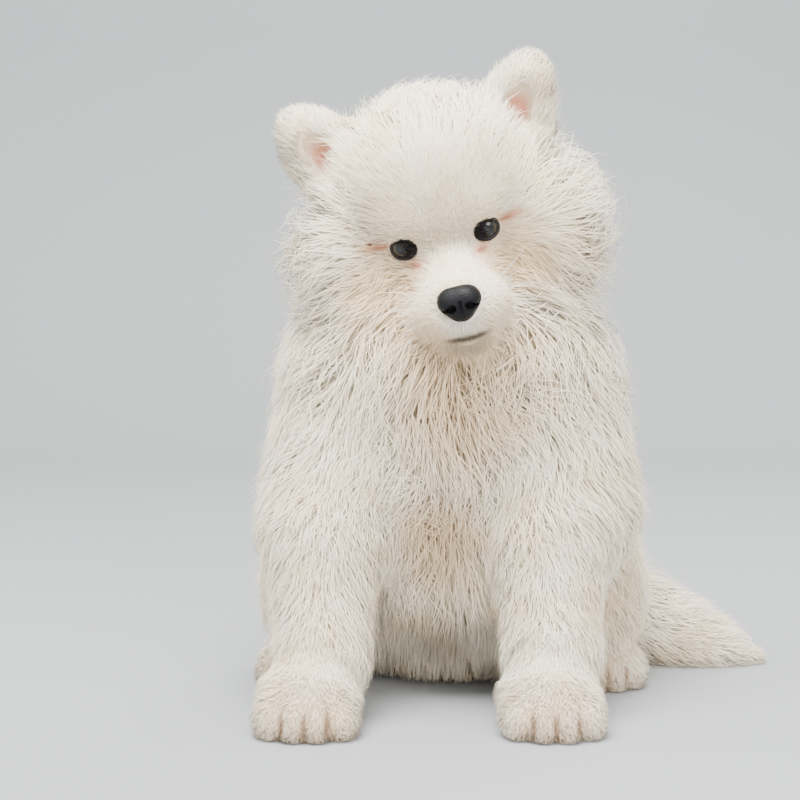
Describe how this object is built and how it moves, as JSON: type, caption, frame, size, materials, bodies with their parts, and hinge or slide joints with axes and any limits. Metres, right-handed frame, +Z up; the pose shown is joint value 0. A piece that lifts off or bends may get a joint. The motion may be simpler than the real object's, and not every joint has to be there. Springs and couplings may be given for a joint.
{
  "type": "samoyed puppy",
  "caption": "Life-size still model of a fluffy white Samoyed puppy that sits with its head tipped to one side and its tail laid along the floor.",
  "frame": {"origin": "on the floor, under the middle of the whole puppy's box", "axes": "+Z up; the puppy looks along -Y; +X is its own left side, where the tail lies"},
  "size_m": [0.37, 0.2793, 0.4293],
  "materials": {
    "coat": "matte",
    "ear": "matte",
    "eye": "gloss",
    "nose": "satin"
  },
  "bodies": {
    "root": {"head": "coat", "ear_left": "ear", "ear_right": "ear", "eye_left": "eye", "eye_right": "eye", "nose": "nose", "neck": "coat", "torso": "coat", "foreleg_left": "coat", "foreleg_right": "coat", "hindleg_left": "coat", "hindleg_right": "coat", "tail": "coat"}
  },
  "joints": []
}
